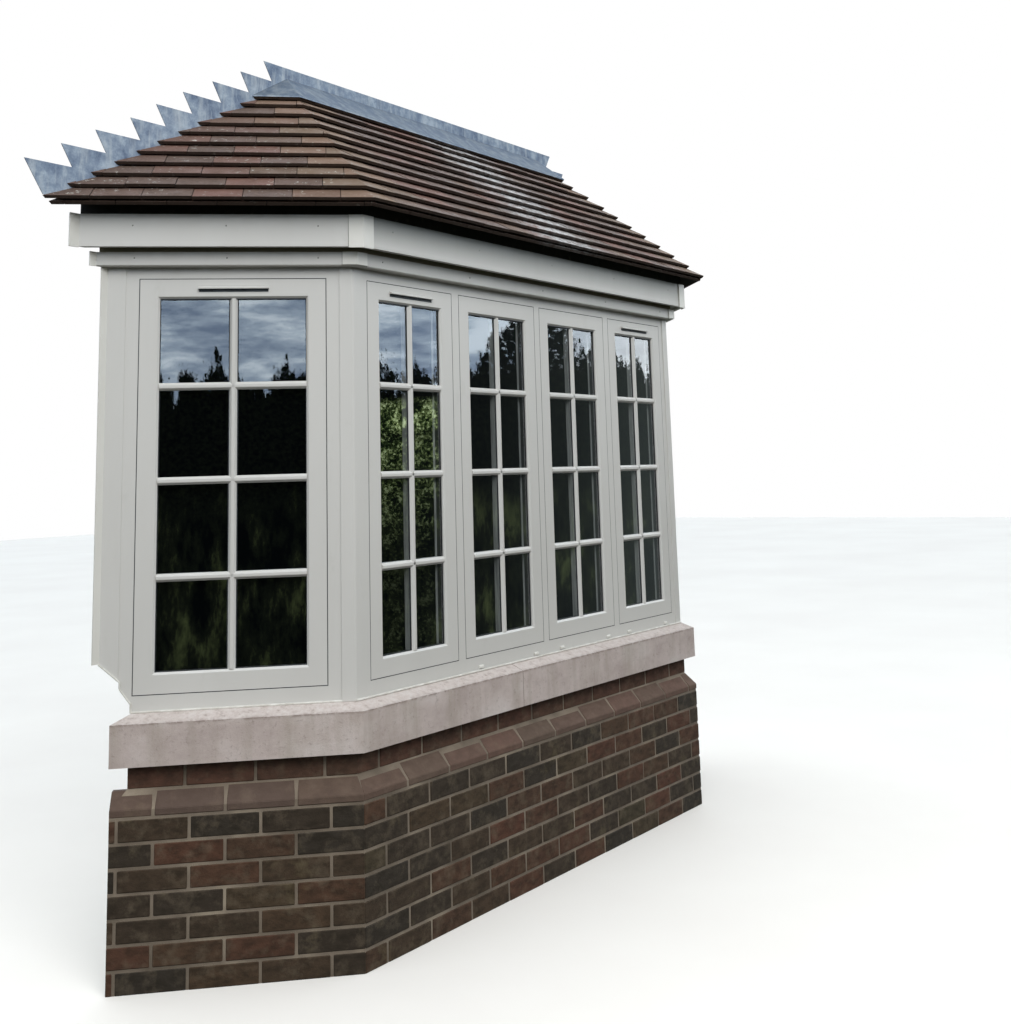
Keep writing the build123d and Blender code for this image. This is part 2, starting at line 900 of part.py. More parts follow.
# Stepped lead flashing on the wall, down each side slope, with raked risers
flashing_start = cover_seam + lead_gap
nose_foot = wall_end(nose_reach - 4, wall_y, 1)[0]
foot_level = above_bed(nose_reach - 4, lead_seat)
foot_start = wall_end(eaves_reach, wall_y, 1)[0] - (foot_level - behind_tiles(wall_end(eaves_reach, wall_y, 1)[0])) / (
    rise * math.sin(full_splay)
)
step_outline = [
    (flashing_start, behind_tiles(flashing_start)),
    (foot_start, foot_level),
    (nose_foot, foot_level),
]
for step in range(len(step_tips) - 1, 1, -1):
    step_outline.append((step_tips[step], step_levels[step]))
    step_outline.append((step_tips[step - 1] - step_rake, step_levels[step]))
step_outline[-1] = (flashing_start, step_levels[2])
with BuildPart() as step_flashing:
    with BuildSketch(Plane.XZ.offset(-wall_y)):
        with BuildLine():
            Polyline(*step_outline, close=True)
        make_face()
    extrude(amount=lead)
save(paired(step_flashing.part), "lead_step_flashing")
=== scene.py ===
import bpy
import bmesh
import math
import random
from mathutils import Matrix, Vector


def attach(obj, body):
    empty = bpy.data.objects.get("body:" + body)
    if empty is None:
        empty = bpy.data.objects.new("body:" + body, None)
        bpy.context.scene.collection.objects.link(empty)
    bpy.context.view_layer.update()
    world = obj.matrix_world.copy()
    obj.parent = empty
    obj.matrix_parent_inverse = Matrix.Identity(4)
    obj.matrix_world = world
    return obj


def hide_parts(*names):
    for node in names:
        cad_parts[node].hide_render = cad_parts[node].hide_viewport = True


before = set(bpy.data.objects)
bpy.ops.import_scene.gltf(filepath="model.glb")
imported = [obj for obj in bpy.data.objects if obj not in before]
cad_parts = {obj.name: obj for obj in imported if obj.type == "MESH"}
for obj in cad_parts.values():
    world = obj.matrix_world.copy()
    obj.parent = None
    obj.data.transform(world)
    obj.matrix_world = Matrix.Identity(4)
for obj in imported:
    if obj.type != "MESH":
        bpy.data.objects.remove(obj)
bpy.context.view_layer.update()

# Dwarf wall
# A low facing-brick wall under the windows, laid in stretcher bond with raked mortar joints. Its top course
# is set back behind a chamfered plinth course, and the whole wall stands on the ground.
corner_x = 1.136
front_y = -0.2
wall_y = 0.388
splay = math.radians(45)
directions = {
    "front": (Vector((-corner_x, front_y, 0)), Vector((1, 0, 0)), Vector((0, -1, 0))),
    "right": (
        Vector((corner_x, front_y, 0)),
        Vector((math.cos(splay), math.sin(splay), 0)),
        Vector((math.sin(splay), -math.cos(splay), 0)),
    ),
    "left": (
        Vector((-corner_x, front_y, 0)),
        Vector((-math.cos(splay), math.sin(splay), 0)),
        Vector((-math.sin(splay), -math.cos(splay), 0)),
    ),
}


def on_face(face, along, height, out):
    """Point on one of the three faces: along it from the corner, up from the ground, outward."""
    start, run, outward = directions[face]
    return start + run * along + outward * out + Vector((0, 0, height))


def colour(red, green, blue):
    """Shader colour from the usual 0 to 255 values."""
    values = [v / 255 for v in (red, green, blue)]
    return tuple(v / 12.92 if v <= 0.04045 else ((v + 0.055) / 1.055) ** 2.4 for v in values) + (1.0,)


def new_material(name):
    mat = bpy.data.materials.new(name)
    mat.use_nodes = True
    return mat, mat.node_tree, mat.node_tree.nodes["Principled BSDF"]


def add_node(tree, kind, inputs=None, **settings):
    """A shader node with its settings, and its inputs given as values or as sockets to link."""
    item = tree.nodes.new(kind)
    for key, value in settings.items():
        setattr(item, key, value)
    for key, value in (inputs or {}).items():
        if isinstance(value, bpy.types.NodeSocket):
            tree.links.new(value, item.inputs[key])
        else:
            item.inputs[key].default_value = value
    return item


def maths(tree, operation, *values):
    """One step of arithmetic on values or sockets."""
    return add_node(tree, "ShaderNodeMath", dict(enumerate(values)), operation=operation).outputs[0]


def axes(tree, vector):
    """The X, Y and Z sockets of a vector."""
    return add_node(tree, "ShaderNodeSeparateXYZ", {"Vector": vector}).outputs


def own_place(tree):
    """Where a point lies on the object, in metres."""
    return axes(tree, add_node(tree, "ShaderNodeTexCoord").outputs["Object"])


def own_facing(tree):
    """Which way the surface faces."""
    return axes(tree, add_node(tree, "ShaderNodeNewGeometry").outputs["Normal"])


def stretched(tree, place, stretch):
    return add_node(tree, "ShaderNodeMapping", {"Vector": place, "Scale": stretch}).outputs["Vector"]


def noise_over(tree, place, scale, detail, rough):
    inputs = {"Vector": place, "Scale": scale, "Detail": detail, "Roughness": rough}
    return add_node(tree, "ShaderNodeTexNoise", inputs).outputs["Fac"]


def noise(tree, scale, detail=4.0, stretch=(1, 1, 1), rough=0.55):
    """Noise over the piece's own coordinates, in metres."""
    place = add_node(tree, "ShaderNodeTexCoord").outputs["Object"]
    return noise_over(tree, stretched(tree, place, stretch), scale, detail, rough)


def ramp(tree, value, stops):
    """Colours or greys along a value, as pairs of position and colour."""
    item = add_node(tree, "ShaderNodeValToRGB", {"Fac": value})
    while len(item.color_ramp.elements) < len(stops):
        item.color_ramp.elements.new(0.5)
    for element, (position, shade) in zip(item.color_ramp.elements, stops):
        element.position = position
        element.color = shade if len(shade) == 4 else (shade[0], shade[0], shade[0], 1)
    return item.outputs["Color"]


def blend(tree, amount, first, second, kind="MIX"):
    """Mix of two colours, each a value or a socket."""
    inputs = {0: amount, 6: first, 7: second}
    return add_node(tree, "ShaderNodeMix", inputs, data_type="RGBA", blend_type=kind).outputs[2]


def bump(tree, height, distance, strength=1.0, under=None):
    inputs = {"Height": height, "Distance": distance, "Strength": strength}
    if under is not None:
        inputs["Normal"] = under
    return add_node(tree, "ShaderNodeBump", inputs).outputs["Normal"]


def attribute(tree, name):
    return add_node(tree, "ShaderNodeAttribute", attribute_name=name).outputs["Fac"]


def make_piece(name, blocks, mat, replaced=(), bevel=0.0, segments=1):
    """One mesh from many blocks.

    A block is its corner points at one end, those at the other, its tone, and a second value: on the tiles how
    near it is to a hip, on the bricks how much lighter its course is painted, a painted highlight on the chamfer.
    """
    shape = bmesh.new()
    tone = shape.faces.layers.float.new("tone")
    edge = shape.faces.layers.float.new("edge")
    for below, above, value, near in blocks:
        lower = [shape.verts.new(p) for p in below]
        upper = [shape.verts.new(p) for p in above]
        faces = [shape.faces.new(lower), shape.faces.new(upper)]
        for i in range(len(lower)):
            j = (i + 1) % len(lower)
            faces.append(shape.faces.new((lower[i], lower[j], upper[j], upper[i])))
        for face in faces:
            face[tone] = value
            face[edge] = near
    bmesh.ops.recalc_face_normals(shape, faces=shape.faces[:])
    if bevel:
        bmesh.ops.bevel(
            shape,
            geom=shape.edges[:],
            offset=bevel,
            segments=segments,
            profile=0.6,
            affect="EDGES",
            clamp_overlap=True,
        )
    data = bpy.data.meshes.new(name)
    shape.to_mesh(data)
    shape.free()
    data.materials.append(mat)
    piece = bpy.data.objects.new(name, data)
    bpy.context.scene.collection.objects.link(piece)
    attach(piece, "root")
    for cad_node in replaced:
        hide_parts(cad_node)
    return piece


def dress(cad_nodes, mat):
    """Gives CAD nodes their better material."""
    for cad_node in cad_nodes:
        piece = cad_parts[cad_node]
        piece.data.materials.clear()
        piece.data.materials.append(mat)


mortar, tree, shader = new_material("mortar")
patches = noise(tree, 5, 6)
grit = noise(tree, 260, 3)
sand_tones = [(0.3, colour(88, 78, 66)), (0.55, colour(120, 108, 94)), (0.75, colour(150, 138, 120))]
body = ramp(tree, patches, sand_tones)
facing = own_facing(tree)
indoors = ramp(tree, facing["Y"], [(0.5, (0.0,)), (0.6, (1.0,))])
tree.links.new(blend(tree, indoors, body, colour(224, 221, 213)), shader.inputs["Base Color"])
tree.links.new(ramp(tree, grit, [(0.3, (0.85,)), (0.7, (0.97,))]), shader.inputs["Roughness"])
tree.links.new(bump(tree, grit, 0.002, 0.7), shader.inputs["Normal"])
dress(["dwarf_wall_front", "dwarf_wall_left", "dwarf_wall_right"], mortar)

brick, tree, shader = new_material("brick")
kiln = attribute(tree, "tone")
clouds = noise(tree, 22, 7, (1, 1, 2), 0.65)
grit = noise(tree, 180, 4)
# Painted shade: these tones are darker than the bricks themselves, standing for the shade of the shrubs and
# ground in front of the wall.
body = ramp(
    tree,
    kiln,
    [
        (0.0, colour(50, 44, 37)),
        (0.25, colour(57, 48, 39)),
        (0.5, colour(67, 54, 42)),
        (0.75, colour(84, 56, 44)),
        (1.0, colour(65, 57, 43)),
    ],
)
body = blend(tree, ramp(tree, clouds, [(0.4, (0.0,)), (0.65, (0.6,))]), body, colour(36, 31, 24))
moss = ramp(tree, noise(tree, 4.5, 6, rough=0.7), [(0.6, (0.0,)), (0.72, (0.3,))])
body = blend(tree, moss, body, colour(82, 74, 36))
bloom = ramp(tree, noise(tree, 18, 7, rough=0.65), [(0.5, (0.0,)), (0.7, (0.35,))])
body = blend(tree, bloom, body, colour(112, 100, 84))
# The edge value paints the chamfer course lighter: a painted highlight.
body = blend(tree, attribute(tree, "edge"), body, colour(112, 93, 84))
tree.links.new(body, shader.inputs["Base Color"])
tree.links.new(ramp(tree, clouds, [(0.3, (0.75,)), (0.7, (0.95,))]), shader.inputs["Roughness"])
shader.inputs["Specular IOR Level"].default_value = 0.2
tree.links.new(bump(tree, clouds, 0.003, 0.5, bump(tree, grit, 0.0012, 0.8)), shader.inputs["Normal"])

brick_length = 0.215
brick_height = 0.065
joint = 0.010
course_height = 0.075
brick_depth = 0.02
brick_proud = 0.003
lower_face = 0.056
upper_face = 0.008
course_total = 9
chamfer_course = 7
# The chamfer course is painted lighter, a painted highlight for the light its slope catches from above; the
# course above it is lightened a little.
course_highlight = {7: 0.45, 8: 0.1}
chamfer_foot = 0.022
chamfer_rise = 0.006
side_length = 0.7255
least_brick = 0.012
brick_unevenness = 0.001
draws = random.Random(11)


def mitre(out):
    """How far a face grows past the corner when it moves outward."""
    return out * math.tan(splay / 2)


def brick_end(face, along, reach, first, last):
    """Where a brick ends at one depth: on the mitre at a corner of the bay, and square elsewhere."""
    if along <= first + 1e-6:
        return -mitre(reach)
    if face == "front" and along >= last - 1e-6:
        return 2 * corner_x + mitre(reach)
    return along


bricks = []
for face in ("front", "left", "right"):
    for course in range(course_total):
        out = upper_face if course > chamfer_course else lower_face
        first = -mitre(out + brick_proud)
        last = 2 * corner_x + mitre(out + brick_proud) if face == "front" else side_length + out
        bottom = course * course_height
        top = bottom + brick_height
        edge = first - (0.0 if course % 2 else (brick_length + joint) / 2)
        while edge < last - least_brick:
            left = max(edge, first)
            right = min(edge + brick_length, last)
            edge += brick_length + joint
            if right - left < least_brick:
                continue
            push = brick_proud + draws.uniform(-brick_unevenness, brick_unevenness)
            if course == chamfer_course:
                outline = [
                    (out + push, bottom),
                    (out + push, bottom + chamfer_foot),
                    (upper_face + push, top + chamfer_rise),
                    (upper_face - brick_depth, top + chamfer_rise),
                    (upper_face - brick_depth, bottom),
                ]
            else:
                outline = [
                    (out + push, bottom),
                    (out + push, top),
                    (out - brick_depth, top),
                    (out - brick_depth, bottom),
                ]
            below = [on_face(face, brick_end(face, left, o, first, last), h, o) for o, h in outline]
            above = [on_face(face, brick_end(face, right, o, first, last), h, o) for o, h in outline]
            wear_and_highlight = course_highlight.get(course, 0.0)
            kiln_tone = 0.55 + 0.3 * draws.random() if course > chamfer_course else draws.random()
            bricks.append((below, above, kiln_tone, wear_and_highlight))
make_piece("facing_bricks", bricks, brick, bevel=0.0025)

# Stone sill
# Cast stone blocks bedded on the brickwork under the frames, with a sloped top and a drip groove. Rain has
# greyed the top, and the arris at the front of the top is darkened in broken patches.
stone, tree, shader = new_material("cast_stone")
patches = noise(tree, 3.5, 7, (1, 1, 1.6), 0.65)
grain = noise(tree, 320, 3)
specks = noise(tree, 75, 6, rough=0.7)
stone_tones = [(0.3, colour(162, 148, 142)), (0.5, colour(182, 169, 163)), (0.72, colour(199, 190, 185))]
body = ramp(tree, patches, stone_tones)
washes = noise(tree, 16, 5, (1, 1, 0.12), 0.6)
body = blend(tree, ramp(tree, washes, [(0.45, (0.0,)), (0.68, (0.45,))]), body, colour(148, 138, 124))
body = blend(tree, ramp(tree, specks, [(0.56, (0.0,)), (0.7, (0.6,))]), body, colour(134, 124, 116))
arris_level = 0.806
arris = maths(tree, "SUBTRACT", own_place(tree)["Z"], arris_level)
arris = ramp(tree, maths(tree, "ABSOLUTE", arris), [(0.001, (0.75,)), (0.0055, (0.0,))])
chips = ramp(tree, noise(tree, 34, 7, rough=0.75), [(0.42, (0.0,)), (0.55, (1.0,))])
arris = maths(tree, "MULTIPLY", arris, chips)
lichen_tones = [(0.34, colour(150, 140, 133)), (0.46, colour(184, 173, 167)), (0.62, colour(196, 189, 184))]
lichen = ramp(tree, noise(tree, 42, 8, rough=0.75), lichen_tones)
body = blend(tree, ramp(tree, own_facing(tree)["Z"], [(0.4, (0.0,)), (0.8, (0.85,))]), body, lichen)
body = blend(tree, arris, body, colour(122, 108, 100))
tree.links.new(body, shader.inputs["Base Color"])
shader.inputs["Roughness"].default_value = 0.9
tree.links.new(bump(tree, specks, 0.003, 0.5, bump(tree, grain, 0.001, 0.6)), shader.inputs["Normal"])
dress(["stone_sill_front", "stone_sill_left", "stone_sill_right"], stone)

bedding, tree, shader = new_material("stone_joint")
sand = noise(tree, 140, 5)
body = ramp(tree, sand, [(0.3, colour(122, 112, 104)), (0.7, colour(152, 142, 133))])
tree.links.new(body, shader.inputs["Base Color"])
shader.inputs["Roughness"].default_value = 0.95
tree.links.new(bump(tree, sand, 0.0008, 0.6), shader.inputs["Normal"])
joint_ends = (0.879, 0.883)
fill = [(-0.03, 0.679), (0.0585, 0.679), (0.0585, 0.807), (0.0, 0.8305), (-0.03, 0.8305)]
left_side, right_side = [[on_face("front", along, level, out) for out, level in fill] for along in joint_ends]
make_piece("sill_joint", [(left_side, right_side, 0.5, 0.0)], bedding)

# Window frames, sashes, posts and covers
# Plastic profiles with a painted-timber look in a pale grey green. The sashes close flush into the frames,
# the corner posts and jamb covers clip on the front, and the boards under the eaves have the same finish.
finish, tree, shader = new_material("frame_finish")
wash = noise(tree, 1.6, 5, (1, 1, 0.35))
grain = noise(tree, 60, 5, (1, 1, 0.06), 0.6)
dirt = noise(tree, 11, 7, (1, 1, 0.5), 0.7)
body = ramp(tree, wash, [(0.3, colour(191, 189, 184)), (0.7, colour(199, 197, 192))])
body = blend(tree, ramp(tree, dirt, [(0.6, (0.0,)), (0.85, (0.3,))]), body, colour(162, 160, 150))
# Painted shade: on faces that look to the front, the frieze is darkened a little and the fascia more and more
# towards its top, standing for the shade under the eaves.
eaves_shade_fall = maths(tree, "SUBTRACT", own_place(tree)["Z"], 2.0)
eaves_shade_fall = ramp(tree, eaves_shade_fall, [(0.24, (0.0,)), (0.30, (0.12,)), (0.38, (0.12,)), (0.477, (0.95,))])
forward = maths(tree, "MULTIPLY", own_facing(tree)["Y"], -1.0)
forward = ramp(tree, forward, [(0.8, (0.0,)), (0.95, (1.0,))])
painted_eaves_shade = maths(tree, "MULTIPLY", eaves_shade_fall, forward)
body = blend(tree, painted_eaves_shade, body, colour(96, 94, 82))
tree.links.new(body, shader.inputs["Base Color"])
tree.links.new(ramp(tree, grain, [(0.3, (0.34,)), (0.7, (0.46,))]), shader.inputs["Roughness"])
tree.links.new(bump(tree, grain, 0.0006, 0.35), shader.inputs["Normal"])
finished = ("frame_", "sash_", "corner_posts", "jamb_covers", "frieze_", "fascia_", "soffit", "trickle_vents")
dress([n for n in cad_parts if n.startswith(finished)], finish)

cap_finish, tree, shader = new_material("cap_finish")
wash = noise(tree, 3, 5)
body = ramp(tree, wash, [(0.3, colour(204, 202, 194)), (0.7, colour(213, 211, 204))])
tree.links.new(body, shader.inputs["Base Color"])
tree.links.new(ramp(tree, noise(tree, 70, 4), [(0.3, (0.3,)), (0.7, (0.42,))]), shader.inputs["Roughness"])
tree.links.new(bump(tree, noise(tree, 60, 5, (1, 1, 0.06)), 0.0005, 0.35), shader.inputs["Normal"])
# The wall trims, where the boards return to the house, get this lighter finish too; there it is partly painted
# light, lifting them out of the shade they stand in.
dress(["board_corner_caps", "wall_trims"], cap_finish)

# Black for the seals, the spacer rims and the gaps round the sashes; the same black also paints shade: the strips
# for the vent slots and the strip under each head rail.
seal_and_shade_black, tree, shader = new_material("black_seals_and_shade")
wear_and_highlight = noise(tree, 40, 4)
body = ramp(tree, wear_and_highlight, [(0.3, colour(20, 20, 20)), (0.7, colour(34, 34, 33))])
tree.links.new(body, shader.inputs["Base Color"])
tree.links.new(ramp(tree, wear_and_highlight, [(0.3, (0.5,)), (0.7, (0.75,))]), shader.inputs["Roughness"])
tree.links.new(bump(tree, wear_and_highlight, 0.0005, 0.5), shader.inputs["Normal"])

vent_mesh_and_shade, tree, shader = new_material("vent_mesh_and_shade")
# The eaves strips are near black above the fascia level, a vent mesh that also stands for the shade under the
# tiles; below it, in the gap over the frieze, they take a lighter brown grey, painted shade set for how dark that
# gap looks.
fascia_level = 2.4
level = maths(tree, "SUBTRACT", own_place(tree)["Z"], fascia_level)
vent_and_shade_tones = [(0.4, colour(20, 18, 15)), (0.62, colour(34, 30, 26)), (0.74, colour(64, 58, 50))]
body = ramp(tree, noise(tree, 35, 5), vent_and_shade_tones)
body = blend(tree, ramp(tree, level, [(0.0, (1.0,)), (0.01, (0.0,))]), body, colour(132, 127, 105))
tree.links.new(body, shader.inputs["Base Color"])
shader.inputs["Roughness"].default_value = 0.8
tree.links.new(bump(tree, noise(tree, 220, 3), 0.001, 0.6), shader.inputs["Normal"])
dress(["eaves_vents"], vent_mesh_and_shade)

# Glass units and glazing bars
# Sealed units held in the sashes, with a black spacer round the edge. The room side of each unit is an
# opaque near-black face, painted shade standing for the unlit room behind. Bars stuck on both sides of the
# glass, with a grey spacer bar between them, divide each sash into two columns and four rows.
pane, tree, shader = new_material("glass")
smear = noise(tree, 6, 5)
shape = add_node(tree, "ShaderNodeNewGeometry")
outside = maths(tree, "SUBTRACT", 1.0, shape.outputs["Backfacing"])
mirror = add_node(tree, "ShaderNodeFresnel", {"IOR": 2.0}).outputs["Fac"]
mirror = maths(tree, "MULTIPLY", mirror, outside)
outward = maths(tree, "LESS_THAN", axes(tree, shape.outputs["Normal"])["Y"], -0.3)
# The room side, seen from inside the unit, is opaque near black: painted shade for the unlit room.
painted_room_shade = maths(tree, "MULTIPLY", outward, shape.outputs["Backfacing"])
opacity = maths(tree, "MAXIMUM", mirror, painted_room_shade)
tree.links.new(blend(tree, painted_room_shade, (0.95, 0.97, 1.0, 1), colour(2, 3, 4)), shader.inputs["Base Color"])
tree.links.new(outside, shader.inputs["Metallic"])
tree.links.new(outside, shader.inputs["Specular IOR Level"])
tree.links.new(opacity, shader.inputs["Alpha"])
tree.links.new(ramp(tree, smear, [(0.3, (0.004,)), (0.8, (0.014,))]), shader.inputs["Roughness"])
dress([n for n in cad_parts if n.startswith("glass_")], pane)

sash_bottom = 0.888
sash_height = 1.377
sash_rail = 0.067
glass_out = -0.014
sashes = [
    ("front", 0.078, 0.478),
    ("front", 0.6035, 0.511),
    ("front", 1.1575, 0.511),
    ("front", 1.716, 0.478),
    ("left", 0.093, 0.631),
    ("right", 0.093, 0.631),
]
bar_levels = (0.370, 0.6885, 1.007)
bar_half = 0.013
bar_proud = 0.0125
glass_back = -0.042
inner_proud = 0.008
strip_inset = 0.0005
strip_reach = 0.0035
strip_thick = 0.003
seal_width = 0.0025
seal_proud = 0.002
head_seal_and_shade = 0.003
head_seal_and_shade_depth = 0.0095
rebate = 0.008
rim_width = 0.009
rim_depths = (-0.016, -0.038)
gap = 0.0029
gap_width = 0.0028
gap_depths = (-0.0006, -0.004)
bead_outer = 0.008
bead_inner = 0.010
bead_depths = (-0.0384, -0.0412)
bar_section = [(-1, 0), (-1, 0.3), (-0.45, 0.95), (-0.3, 1), (0.3, 1), (0.45, 0.95), (1, 0.3), (1, 0)]
outer_bar = [(w * bar_half, glass_out + o * bar_proud) for w, o in bar_section]
inner_bar = [(w * bar_half, glass_back - o * inner_proud) for w, o in bar_section]
spacer_bar = [(-0.0125, -0.016), (0.0125, -0.016), (0.0125, -0.0415), (-0.0125, -0.0415)]


def upright(face, along, lower, upper, section):
    """A vertical bar from its section, as pairs of width and depth."""
    return (
        [on_face(face, along + w, lower, o) for w, o in section],
        [on_face(face, along + w, upper, o) for w, o in section],
        0.5,
        0.0,
    )


def level_bar(face, a, b, level, section):
    """A horizontal bar from its section, as pairs of width and depth."""
    return (
        [on_face(face, a, level + w, o) for w, o in section],
        [on_face(face, b, level + w, o) for w, o in section],
        0.5,
        0.0,
    )


def edging(face, a, b, lower, upper, width, near, far):
    """Four strips round an opening, inside its edges, between two depths."""
    section = [(0, near), (width, near), (width, far), (0, far)]
    return [
        upright(face, a, lower, upper, section),
        upright(face, b - width, lower, upper, section),
        level_bar(face, a + width, b - width, lower, section),
        level_bar(face, a + width, b - width, upper - width, section),
    ]


bars = []
spacers = []
seals = []
beads = []
for face, start, width in sashes:
    a = start + sash_rail
    b = start + width - sash_rail
    lower = sash_bottom + sash_rail
    upper = sash_bottom + sash_height - sash_rail
    middle = (a + b) / 2
    for section in (outer_bar, inner_bar):
        bars.append(upright(face, middle, lower, upper, section))
        for level in bar_levels:
            bars.append(level_bar(face, a, b, sash_bottom + level, section))
    for side in (-1, 1):
        near_edge = side * (bar_half - strip_inset)
        far_edge = side * (bar_half + strip_reach)
        strip = [(near_edge, glass_out), (far_edge, glass_out)]
        strip += [(far_edge, glass_out + strip_thick), (near_edge, glass_out + strip_thick)]
        seals.append(upright(face, middle, lower, upper, strip))
    spacers.append(upright(face, middle, lower, upper, spacer_bar))
    for level in bar_levels:
        spacers.append(level_bar(face, a, b, sash_bottom + level, spacer_bar))
    seals += edging(face, a, b, lower, upper, seal_width, glass_out, glass_out + seal_proud)
    # Under the head of each opening a black strip lines the rail: partly the gasket, partly painted shade under
    # the top rail.
    head = [(0, glass_out + seal_proud), (head_seal_and_shade, glass_out + seal_proud)]
    head += [(head_seal_and_shade, glass_out + head_seal_and_shade_depth), (0, glass_out + head_seal_and_shade_depth)]
    seals.append(level_bar(face, a + seal_width, b - seal_width, upper - head_seal_and_shade, head))
    seals += edging(face, a - rebate, b + rebate, lower - rebate, upper + rebate, rim_width, *rim_depths)
    around = (start - gap, start + width + gap, sash_bottom - gap, sash_bottom + sash_height + gap)
    seals += edging(face, *around, gap_width, *gap_depths)
    if face == "front":
        for jamb, side in ((a, 1), (b, -1)):
            bead = [(-side * bead_outer, bead_depths[0]), (side * bead_inner, bead_depths[0])]
            bead += [(side * bead_inner, bead_depths[1]), (-side * bead_outer, bead_depths[1])]
            beads.append(upright(face, jamb, lower, upper, bead))
make_piece("glazing_bars", bars, finish)

alloy, tree, shader = new_material("spacer_bar")
brushed = noise(tree, 150, 5, (1, 1, 0.05), 0.7)
body = ramp(tree, brushed, [(0.35, colour(92, 96, 95)), (0.65, colour(132, 136, 134))])
tree.links.new(body, shader.inputs["Base Color"])
shader.inputs["Roughness"].default_value = 0.5
tree.links.new(bump(tree, brushed, 0.0003, 0.4), shader.inputs["Normal"])
make_piece("spacer_bars", spacers, alloy)
make_piece("glazing_seals", seals, seal_and_shade_black)
make_piece("glazing_beads", beads, alloy)

# Vent slots and drainage caps
# Each hood on a top rail has a slot under it, drawn as a thin black strip, painted shade for the dark
# opening. The bottom rail of the front frame carries six small caps over its drainage holes.
hood_level = 2.2255
hood_half = 0.118
slot_shade_section = [(-0.0045, 0), (0.0045, 0), (0.0045, 0.0015), (-0.0045, 0.0015)]
slot_shade_strips = []
for face, middle in (("front", 0.317), ("front", 1.955), ("left", 0.4085), ("right", 0.4085)):
    slot_shade_strips.append(level_bar(face, middle - hood_half, middle + hood_half, hood_level, slot_shade_section))
make_piece("vent_slot_shade", slot_shade_strips, seal_and_shade_black)

cap_level = 0.846
cap_half = 0.014
cap_section = [(-0.007, 0), (0.007, 0), (0.005, 0.006), (-0.005, 0.006)]
caps = []
for x in (-0.445, -0.080, 0.110, 0.475, 0.656, 0.990):
    along = x + corner_x
    caps.append(level_bar("front", along - cap_half, along + cap_half, cap_level, cap_section))
make_piece("drainage_caps", caps, cap_finish, bevel=0.002, segments=2)

# Sealant and fixing pins
# A bead of pale sealant closes the frames onto the stone and the jamb covers onto the house plinth. Small
# capped pins hold the boards under the eaves.
sealant, tree, shader = new_material("sealant")
smudge = noise(tree, 25, 6, rough=0.65)
body = ramp(tree, smudge, [(0.3, colour(186, 182, 172)), (0.65, colour(220, 218, 211))])
tree.links.new(body, shader.inputs["Base Color"])
shader.inputs["Roughness"].default_value = 0.5
tree.links.new(bump(tree, smudge, 0.001, 0.4), shader.inputs["Normal"])
foot = 0.832
foot_end = 0.7295
bead_level = foot + 0.002
bead_half = 0.003
bead_thick = 0.005
cover_start = 0.75
on_cover = 0.0035
on_frame = -0.001
cover_foot = [(0.8336, 0.9915), (0.7649, 0.932), (0.7649, 0.911), (foot_end, 0.862), (foot_end, foot)]
runs = [("front", [(0.0, bead_level), (2 * corner_x, bead_level)])]
for face in ("left", "right"):
    runs.append((face, [(0.0, bead_level), (foot_end, bead_level)]))
    runs.append((face, cover_foot))
lines = []
for face, marks in runs:
    for (a, low_mark), (b, high_mark) in zip(marks, marks[1:]):
        length = math.hypot(b - a, high_mark - low_mark)
        dx = -(high_mark - low_mark) / length * bead_half
        dz = (b - a) / length * bead_half
        near = on_cover if max(a, b) > cover_start else on_frame
        far = near + bead_thick
        ring = [(dx, dz, near), (-dx, -dz, near), (-dx, -dz, far), (dx, dz, far)]
        lines.append(
            (
                [on_face(face, a + x, low_mark + z, o) for x, z, o in ring],
                [on_face(face, b + x, high_mark + z, o) for x, z, o in ring],
                0.5,
                0.0,
            )
        )
make_piece("sealant_beads", lines, sealant, bevel=0.0012)

pin_radius = 0.0035
ring = [(pin_radius * math.cos(k * math.pi / 4), pin_radius * math.sin(k * math.pi / 4)) for k in range(8)]
pin_top = 0.7
pin_sunk = 0.001
pin_proud = 0.0012
fascia_out = 0.089
frieze_out = 0.038
pin_rows = ((2.437, fascia_out), (2.334, frieze_out))
side_marks = (0.118, 0.43, 0.74)
pin_marks = {"front": (0.12, 0.63, 1.136, 1.642, 2.152), "left": side_marks, "right": side_marks}
pins = []
for face, marks in pin_marks.items():
    for along in marks:
        for level, out in pin_rows:
            pin_base = [on_face(face, along + x, level + z, out - pin_sunk) for x, z in ring]
            pin_head = [on_face(face, along + pin_top * x, level + pin_top * z, out + pin_proud) for x, z in ring]
            pins.append((pin_base, pin_head, 0.5, 0.0))
pin_cap, tree, shader = new_material("pin_cap")
smudge = noise(tree, 60, 4)
body = ramp(tree, smudge, [(0.3, colour(104, 103, 96)), (0.7, colour(130, 129, 122))])
tree.links.new(body, shader.inputs["Base Color"])
tree.links.new(ramp(tree, smudge, [(0.3, (0.4,)), (0.7, (0.6,))]), shader.inputs["Roughness"])
tree.links.new(bump(tree, smudge, 0.0004, 0.4), shader.inputs["Normal"])
make_piece("fixing_pins", pins, pin_cap)

line_width = 0.0016
line_sunk = 0.001
line_proud = 0.0008
cap_lines = ((0.0131, fascia_out, 2.365, 2.477), (0.0343, frieze_out, 2.306, 2.355))
edges = []
for face in directions:
    for cap_edge, out, lower, upper in cap_lines:
        marks = [cap_edge]
        if face == "front":
            marks.append(2 * corner_x - cap_edge - line_width)
        near = out - line_sunk
        far = out + line_proud
        section = [(0, near), (line_width, near), (line_width, far), (0, far)]
        for along in marks:
            edges.append(upright(face, along, lower, upper, section))
make_piece("cap_joints", edges, pin_cap)

